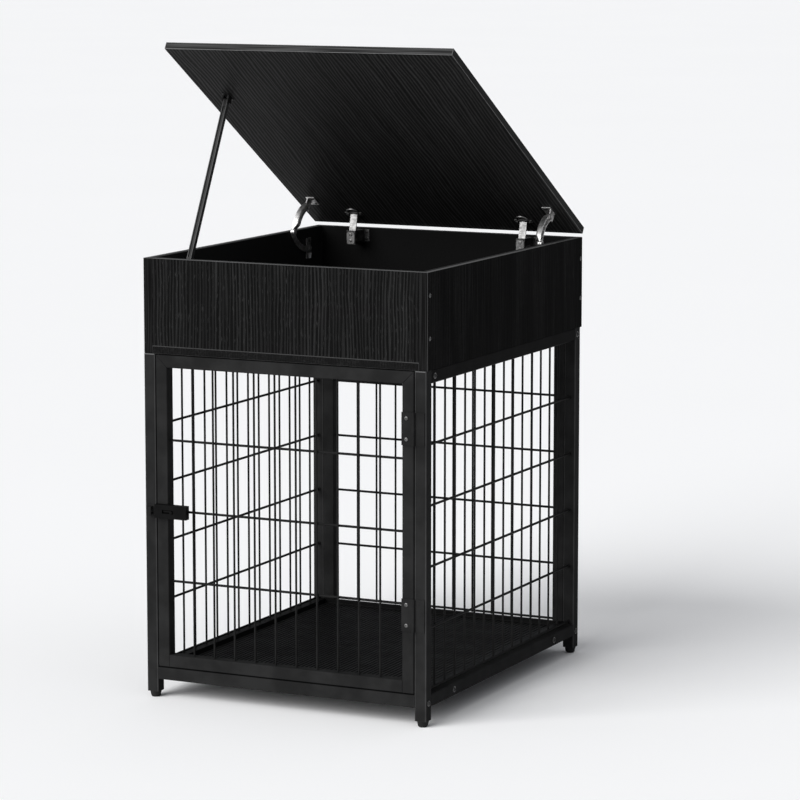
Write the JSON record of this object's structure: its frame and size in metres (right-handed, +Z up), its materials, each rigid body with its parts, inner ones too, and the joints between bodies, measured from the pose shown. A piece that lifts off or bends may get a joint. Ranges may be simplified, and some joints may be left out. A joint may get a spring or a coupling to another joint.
{
  "type": "furniture dog crate",
  "caption": "Black steel-tube pet crate with wire panels, a framed wire door, a floor tray, and a wood-grain storage box on top with a propped flip-up lid.",
  "frame": {"origin": "centre of the bounding box at floor level, lid propped open and door closed", "axes": "+X to the right seen from the door side, +Y towards the hinged back edge of the lid, +Z up"},
  "size_m": [0.508, 0.6292, 1.055],
  "materials": {
    "powder_black": "matte powder coat",
    "wire_black": "matte powder coat",
    "dark_laminate": "black wood-grain laminate, satin",
    "dark_nickel": "dark nickel plate",
    "screw_steel": "zinc plated",
    "screw_black": "black",
    "rod_black": "satin black",
    "latch_black": "satin black",
    "foot_plastic": "matte",
    "tray_plastic": "ribbed, matte"
  },
  "bodies": {
    "crate": {"leg_front_left": "powder_black", "leg_front_right": "powder_black", "leg_back_left": "powder_black", "leg_back_right": "powder_black", "feet": "foot_plastic", "front_bottom_rail": "powder_black", "left_bottom_rail": "powder_black", "right_bottom_rail": "powder_black", "left_top_rail": "powder_black", "right_top_rail": "powder_black", "back_stile_left": "powder_black", "back_stile_right": "powder_black", "back_top_rail": "powder_black", "back_bottom_rail": "powder_black", "back_wire_panel": "wire_black", "left_wire_panel": "wire_black", "right_wire_panel": "wire_black", "tray_bars": "powder_black", "box_bottom_board": "dark_laminate", "box_left_board": "dark_laminate", "box_right_board": "dark_laminate", "box_front_board": "dark_laminate", "box_back_board": "dark_laminate", "box_screws": "screw_black", "frame_bolts": "screw_steel", "lid_hinge_plate_left": "dark_nickel", "lid_hinge_plate_right": "dark_nickel", "lid_hinge_arm_left": "dark_nickel", "lid_hinge_arm_right": "dark_nickel", "stay_wall_bracket_left": "dark_nickel", "stay_wall_bracket_right": "dark_nickel", "prop_catch": "dark_nickel", "latch_keeper": "powder_black", "door_hinge_leg_leaf_upper": "powder_black", "door_hinge_leg_leaf_lower": "powder_black", "door_hinge_pins": "powder_black", "box_hardware_screws": "screw_steel"},
    "tray": {"tray": "tray_plastic"},
    "lid": {"lid_board": "dark_laminate", "lid_hinge_cup_left": "dark_nickel", "lid_hinge_cup_right": "dark_nickel", "stay_lid_bracket_left": "dark_nickel", "stay_lid_bracket_right": "dark_nickel", "prop_lid_bracket": "rod_black", "lid_hardware_screws": "screw_steel"},
    "prop": {"prop_rod": "rod_black"},
    "stay_lower_left": {"stay_lower_arm_left": "dark_nickel"},
    "stay_upper_left": {"stay_upper_arm_left": "dark_nickel"},
    "stay_lower_right": {"stay_lower_arm_right": "dark_nickel"},
    "stay_upper_right": {"stay_upper_arm_right": "dark_nickel"},
    "door": {"door_stile_left": "powder_black", "door_stile_right": "powder_black", "door_top_rail": "powder_black", "door_bottom_rail": "powder_black", "door_wires": "wire_black", "door_hinge_door_leaf_upper": "powder_black", "door_hinge_door_leaf_lower": "powder_black", "latch_housing": "latch_black", "door_screws": "screw_steel"},
    "latch": {"latch_bolt": "latch_black"}
  },
  "joints": [
    {"name": "lid_hinge", "type": "hinge", "parent": "crate", "child": "lid", "pos_m": [0, 0.32087, 0.729], "axis": [-1, 0, 0], "range_deg": [-31.5, 0]},
    {"name": "prop_pivot", "type": "hinge", "parent": "lid", "child": "prop", "pos_m": [-0.212, -0.0884, 0.95587], "axis": [-1, 0, 0], "range_deg": [-85.71, 0.01]},
    {"name": "door_hinge", "type": "hinge", "parent": "crate", "child": "door", "pos_m": [0.22925, -0.30403, 0.307], "axis": [0, 0, 1], "range_deg": [0, 170]},
    {"name": "latch_slide", "type": "slide", "parent": "door", "child": "latch", "axis": [-1, 0, 0], "range_m": [0, 0.014]},
    {"name": "tray_lift", "type": "slide", "parent": "crate", "child": "tray", "axis": [0, 0, 1], "range_m": [0, 0.06]},
    {"name": "stay_base_pivot_left", "type": "hinge", "parent": "crate", "child": "stay_lower_left", "pos_m": [-0.2331, 0.24687, 0.682], "axis": [-1, 0, 0], "range_deg": [-34.35, 0.01]},
    {"name": "stay_elbow_left", "type": "hinge", "parent": "stay_lower_left", "child": "stay_upper_left", "pos_m": [-0.2308, 0.18325, 0.71572], "axis": [-1, 0, 0], "range_deg": [-0.01, 44.07]},
    {"name": "stay_base_pivot_right", "type": "hinge", "parent": "crate", "child": "stay_lower_right", "pos_m": [0.2331, 0.24687, 0.682], "axis": [-1, 0, 0], "range_deg": [-34.35, 0.01]},
    {"name": "stay_elbow_right", "type": "hinge", "parent": "stay_lower_right", "child": "stay_upper_right", "pos_m": [0.2308, 0.18325, 0.71572], "axis": [-1, 0, 0], "range_deg": [-0.01, 44.07]}
  ],
  "couplings": [
    {"joint": "prop_pivot", "follows": "lid_hinge", "ratio": 2.7206},
    {"joint": "stay_base_pivot_left", "follows": "lid_hinge", "ratio": 1.0901},
    {"joint": "stay_elbow_left", "follows": "lid_hinge", "ratio": -1.3987},
    {"joint": "stay_base_pivot_right", "follows": "lid_hinge", "ratio": 1.0901},
    {"joint": "stay_elbow_right", "follows": "lid_hinge", "ratio": -1.3987}
  ]
}
